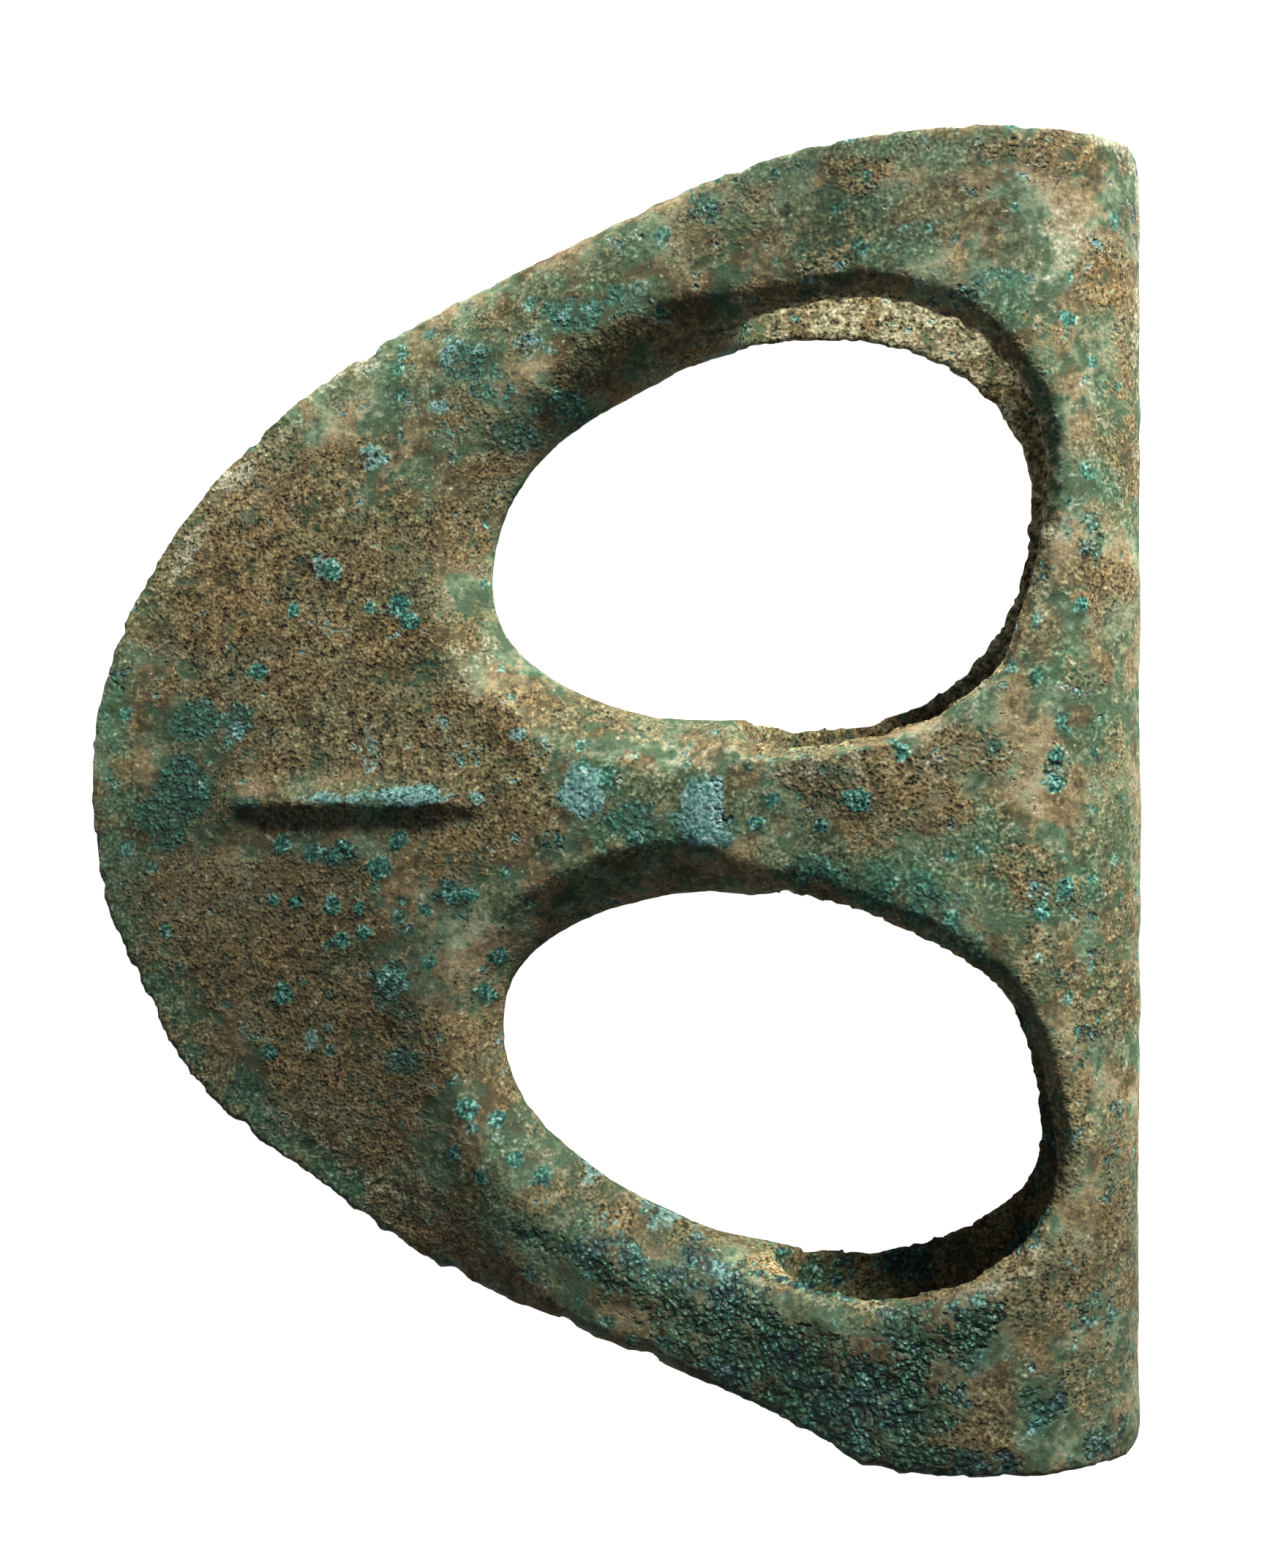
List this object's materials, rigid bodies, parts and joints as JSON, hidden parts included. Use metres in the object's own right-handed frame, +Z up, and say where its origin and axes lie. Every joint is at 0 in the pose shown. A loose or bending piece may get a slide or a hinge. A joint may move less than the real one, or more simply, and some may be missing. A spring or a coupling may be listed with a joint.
{
  "type": "eye axe head",
  "caption": "Cast bronze axe head: D-shaped blade joined by rounded arms to a tall oval shaft socket, with large oval windows between them.",
  "frame": {"origin": "middle of the lying head's bounding box, on the ground it lies on", "axes": "+Y along the shaft hole, -X towards the cutting edge, +Z up across the thickness"},
  "size_m": [0.0844, 0.099, 0.02],
  "materials": {
    "bronze": "rough green and brown patina"
  },
  "bodies": {
    "root": {"axe_head": "bronze"}
  },
  "joints": []
}
